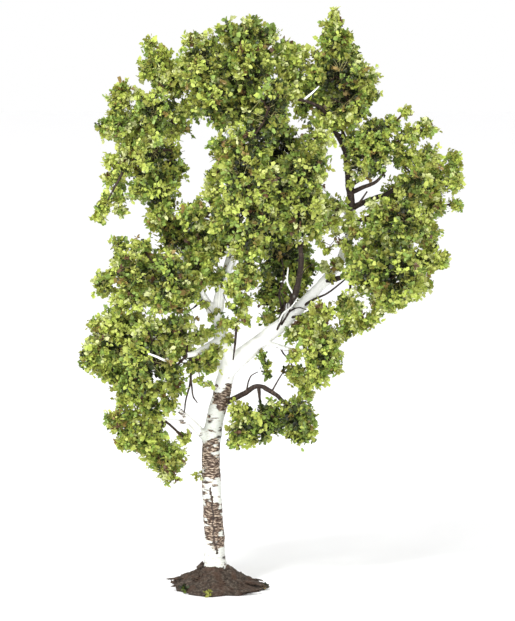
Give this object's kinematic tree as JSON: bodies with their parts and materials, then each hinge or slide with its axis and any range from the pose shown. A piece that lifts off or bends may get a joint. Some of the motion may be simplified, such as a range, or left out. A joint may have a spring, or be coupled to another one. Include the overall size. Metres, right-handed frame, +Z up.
{
  "type": "model birch tree",
  "caption": "Model birch tree for scenery: white painted trunk and boughs, wiry twigs and leaf flake foliage, on a small earth mound.",
  "frame": {"origin": "centre of the mound's flat underside, on the ground below the trunk's foot", "axes": "+Z up along the trunk, +X to the right in the picture's view, +Y away from the viewer"},
  "size_m": [0.1177, 0.0701, 0.1794],
  "materials": {
    "white_bark": "matt white paint with brown streaked patches",
    "dark_bark": "matt dark brown wiry boughs",
    "leaf_flock": "loose leaf flakes in several greens with a few rust brown ones",
    "dark_twig": "thin dark brown twigs",
    "pale_twig": "thin pale twigs and fibres",
    "earth": "rough dark earth"
  },
  "bodies": {
    "root": {"mound": "earth", "trunk": "white_bark", "leader": "white_bark", "right_bough": "white_bark", "right_riser": "white_bark", "left_bough": "white_bark", "column_limb": "white_bark", "crown_left_limb": "white_bark", "crown_back_limb": "white_bark", "centre_back_limb": "white_bark", "bridge_limb": "dark_bark", "top_back_limb": "dark_bark", "right_shoulder_limb": "dark_bark", "right_far_limb": "dark_bark", "right_mid_limb": "dark_bark", "right_back_limb": "dark_bark", "right_outer_limb": "dark_bark", "right_low_limb": "white_bark", "centre_right_limb": "white_bark", "inner_limb": "dark_bark", "left_link_limb": "white_bark", "left_shoulder_limb": "white_bark", "left_outer_limb": "white_bark", "left_back_limb": "white_bark", "left_mid_limb": "white_bark", "left_mid_back_limb": "white_bark", "left_low_limb": "white_bark", "left_low_outer_limb": "white_bark", "left_low_back_limb": "white_bark", "left_bottom_bough": "white_bark", "left_bottom_limb": "white_bark", "right_bottom_limb": "dark_bark", "top_spire": "leaf_flock", "top_spire_back": "leaf_flock", "top_bridge": "leaf_flock", "crown_top": "leaf_flock", "crown_top_left": "leaf_flock", "crown_top_back": "leaf_flock", "left_spire": "leaf_flock", "left_shoulder": "leaf_flock", "left_shoulder_outer": "leaf_flock", "left_shoulder_back": "leaf_flock", "left_link": "leaf_flock", "front_column": "leaf_flock", "centre_right": "leaf_flock", "centre_back": "leaf_flock", "inner_dark": "leaf_flock", "left_mid": "leaf_flock", "left_mid_back": "leaf_flock", "left_low": "leaf_flock", "left_low_outer": "leaf_flock", "left_low_back": "leaf_flock", "left_bottom": "leaf_flock", "right_shoulder": "leaf_flock", "right_far": "leaf_flock", "right_mid": "leaf_flock", "right_mid_low": "leaf_flock", "right_mid_back": "leaf_flock", "right_low": "leaf_flock", "right_bottom": "leaf_flock"}
  },
  "joints": []
}
